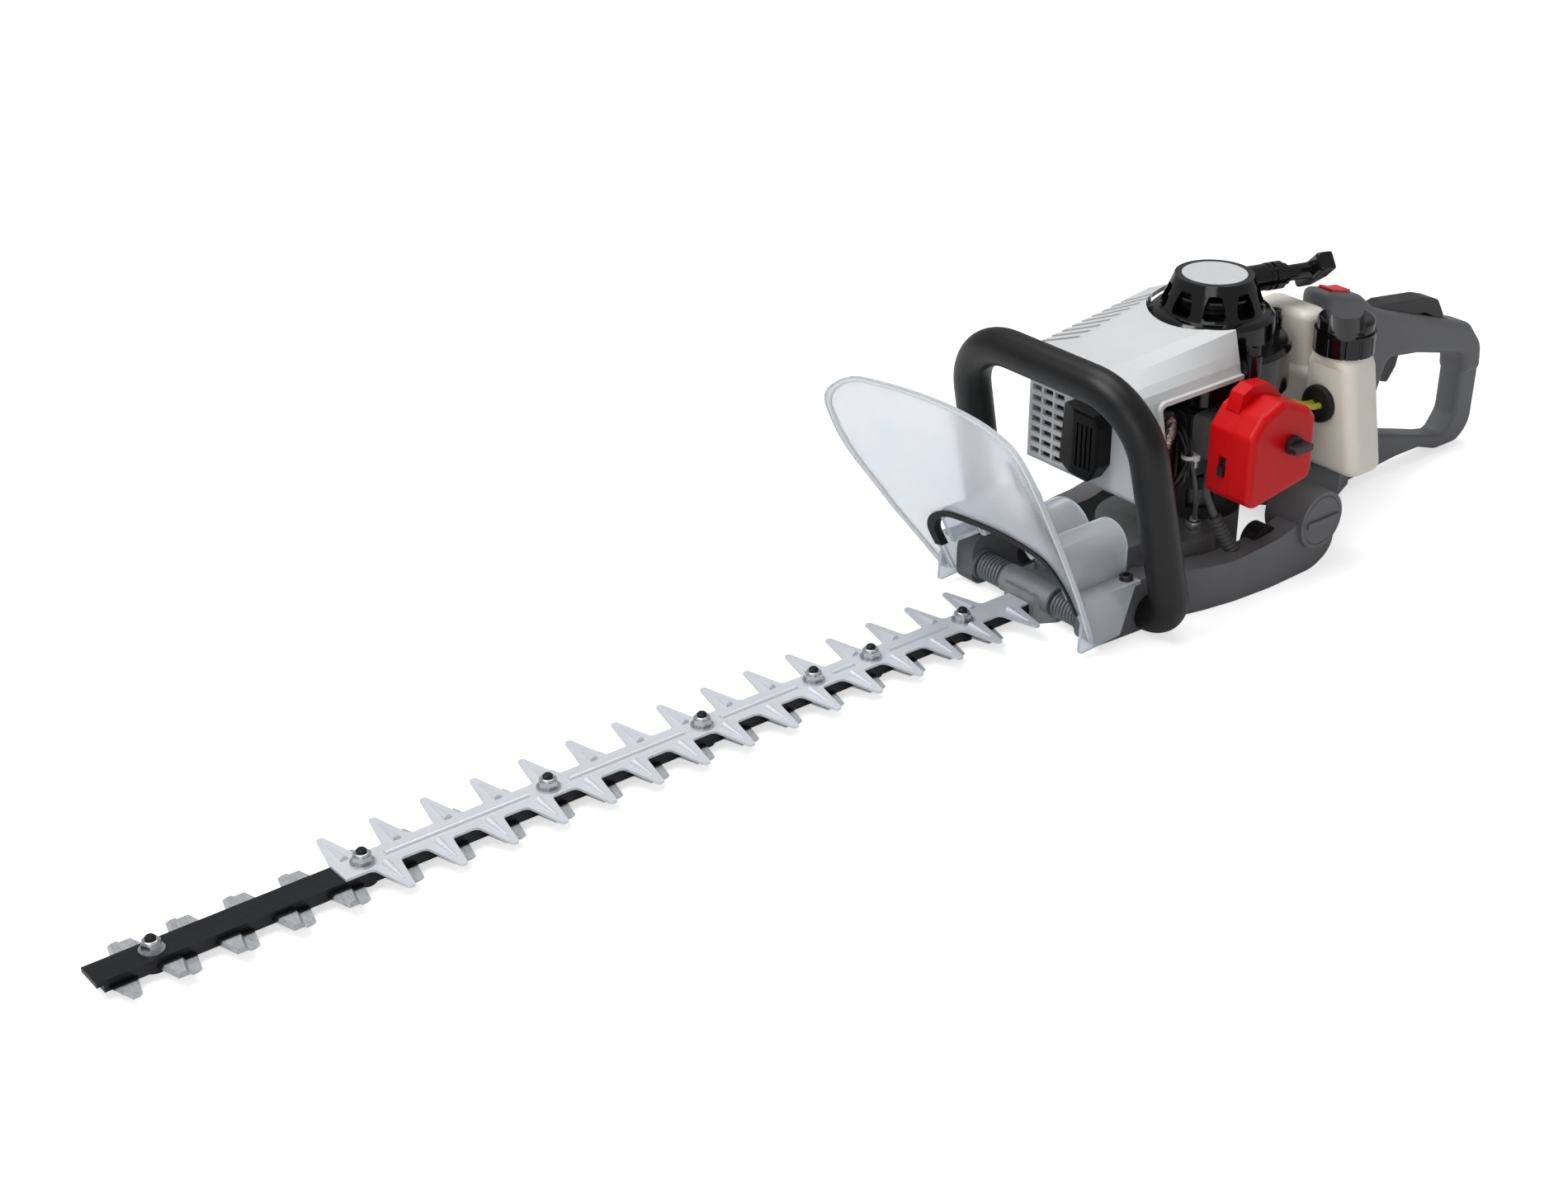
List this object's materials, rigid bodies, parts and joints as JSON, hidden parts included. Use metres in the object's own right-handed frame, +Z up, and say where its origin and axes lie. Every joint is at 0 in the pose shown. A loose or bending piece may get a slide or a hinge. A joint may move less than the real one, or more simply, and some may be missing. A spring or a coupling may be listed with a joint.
{
  "type": "petrol hedge trimmer",
  "caption": "Petrol hedge trimmer: double-sided toothed cutter, clear hand guard, looped front handle, engine with recoil starter, rear D-handle with throttle trigger.",
  "frame": {"origin": "on the vertical crank axis, at the surface the machine rests on", "axes": "+Z up; +X along the machine from the blade tip to the rear handle; -Y towards the air filter side"},
  "size_m": [1.1049, 0.2032, 0.1987],
  "materials": {
    "ground_steel": "satin",
    "black_steel": "satin",
    "comb_alloy": "satin",
    "zinc_steel": "satin",
    "cast_alloy": "matte",
    "machined_steel": "satin",
    "exhaust_steel": "matte",
    "cover_grey": "satin",
    "gloss_black": "gloss",
    "filter_red": "satin",
    "filter_foam": "matte",
    "tank_milky": "satin",
    "black_rubber": "matte",
    "fuel_tube": "gloss",
    "handle_grey": "matte",
    "lever_black": "satin",
    "switch_red": "satin",
    "grip_foam": "matte",
    "guard_clear": "gloss",
    "spring_steel": "satin",
    "disc_silver": "brushed",
    "rope_black": "matte",
    "screw_black": "satin"
  },
  "bodies": {
    "machine": {"guide_bar": "black_steel", "tooth_comb": "comb_alloy", "bar_bolts": "black_steel", "bar_nuts": "zinc_steel", "gear_case": "cast_alloy", "gear_lid": "cast_alloy", "gear_bearings": "machined_steel", "clutch_housing": "cast_alloy", "crankcase": "cast_alloy", "cylinder": "cast_alloy", "spark_plug": "zinc_steel", "plug_boot": "black_rubber", "muffler": "exhaust_steel", "exhaust_deflector": "gloss_black", "carburettor": "cast_alloy", "ignition_coil": "black_rubber", "ignition_lead": "black_rubber", "filter_base": "filter_red", "filter_cover": "filter_red", "filter_element": "filter_foam", "fuel_tank": "tank_milky", "tank_grommet": "black_rubber", "fuel_hoses": "fuel_tube", "starter_housing": "gloss_black", "starter_screws": "screw_black", "starter_disc": "disc_silver", "rope_guide": "gloss_black", "engine_cover": "cover_grey", "front_handle_tube": "black_steel", "front_handle_grip": "grip_foam", "base_frame": "handle_grey", "rear_mount_caps": "handle_grey", "handle_screws": "zinc_steel", "rear_handle_left": "handle_grey", "rear_handle_right": "handle_grey", "av_springs": "spring_steel", "spring_caps": "handle_grey", "hand_guard": "guard_clear", "guard_trim": "black_rubber", "guard_screws": "screw_black", "mount_buffers": "black_rubber", "cable_sleeve": "black_rubber", "throttle_cable": "black_rubber"},
    "upper_blade": {"upper_blade": "ground_steel"},
    "lower_blade": {"lower_blade": "ground_steel"},
    "clutch_drum": {"clutch_drum": "machined_steel"},
    "drive_gear": {"drive_gear": "machined_steel"},
    "crank": {"crankshaft": "machined_steel", "flywheel": "cast_alloy", "clutch_shoes": "machined_steel"},
    "starter_grip": {"starter_grip": "gloss_black", "starter_rope": "rope_black"},
    "starter_pulley": {"starter_pulley": "lever_black"},
    "throttle_trigger": {"throttle_trigger": "lever_black"},
    "throttle_lock": {"throttle_lock": "lever_black"},
    "stop_switch": {"stop_switch": "switch_red"},
    "fuel_cap": {"fuel_cap": "gloss_black"},
    "filter_knob": {"filter_knob": "lever_black"},
    "choke_lever": {"choke_lever": "lever_black"}
  },
  "joints": [
    {"name": "blade_slide", "type": "slide", "parent": "machine", "child": "upper_blade", "axis": [1, 0, 0], "range_m": [-0.00495, 0.01155]},
    {"name": "lower_blade_slide", "type": "slide", "parent": "machine", "child": "lower_blade", "axis": [1, 0, 0], "range_m": [-0.01155, 0.00495]},
    {"name": "drum_spin", "type": "hinge", "parent": "machine", "child": "clutch_drum", "pos_m": [0, 0, 0.045], "axis": [0, 0, 1], "continuous": true},
    {"name": "gear_spin", "type": "hinge", "parent": "machine", "child": "drive_gear", "pos_m": [-0.039, 0, 0.025], "axis": [0, 0, 1], "continuous": true},
    {"name": "crank_spin", "type": "hinge", "parent": "machine", "child": "crank", "pos_m": [0, 0, 0.1], "axis": [0, 0, 1], "continuous": true},
    {"name": "starter_pull", "type": "slide", "parent": "machine", "child": "starter_grip", "axis": [0.9613, -0.2756, 0], "range_m": [0, 0.6], "stiffness_N_per_m": 15, "springref_m": -0.3, "deforming": ["starter_rope"]},
    {"name": "pulley_spin", "type": "hinge", "parent": "machine", "child": "starter_pulley", "pos_m": [0, 0, 0.182], "axis": [0, 0, 1], "range_deg": [0, 1880]},
    {"name": "trigger_pull", "type": "hinge", "parent": "machine", "child": "throttle_trigger", "pos_m": [0.172, 0, 0.106], "axis": [0, -1, 0], "range_deg": [0, 14], "stiffness_Nm_per_rad": 0.6, "springref_deg": -20.05},
    {"name": "lock_press", "type": "hinge", "parent": "machine", "child": "throttle_lock", "pos_m": [0.168, 0, 0.13], "axis": [0, 1, 0], "range_deg": [0, 5], "stiffness_Nm_per_rad": 1.2, "springref_deg": -8.59},
    {"name": "stop_tilt", "type": "hinge", "parent": "machine", "child": "stop_switch", "pos_m": [0.125, 0, 0.154], "axis": [0, -1, 0], "range_deg": [0, 16]},
    {"name": "cap_turn", "type": "hinge", "parent": "machine", "child": "fuel_cap", "pos_m": [0.073, -0.0535, 0.15], "axis": [0, 0, 1], "continuous": true},
    {"name": "knob_turn", "type": "hinge", "parent": "machine", "child": "filter_knob", "pos_m": [-0.0205, -0.1, 0.1145], "axis": [0, -1, 0], "continuous": true},
    {"name": "choke_slide", "type": "slide", "parent": "machine", "child": "choke_lever", "axis": [0, 0, 1], "range_m": [0, 0.005]}
  ],
  "couplings": [
    {"joint": "lower_blade_slide", "follows": "blade_slide", "ratio": -1},
    {"joint": "gear_spin", "follows": "drum_spin", "ratio": -0.3},
    {"joint": "pulley_spin", "follows": "starter_pull", "rad_per_m": 54.645}
  ]
}
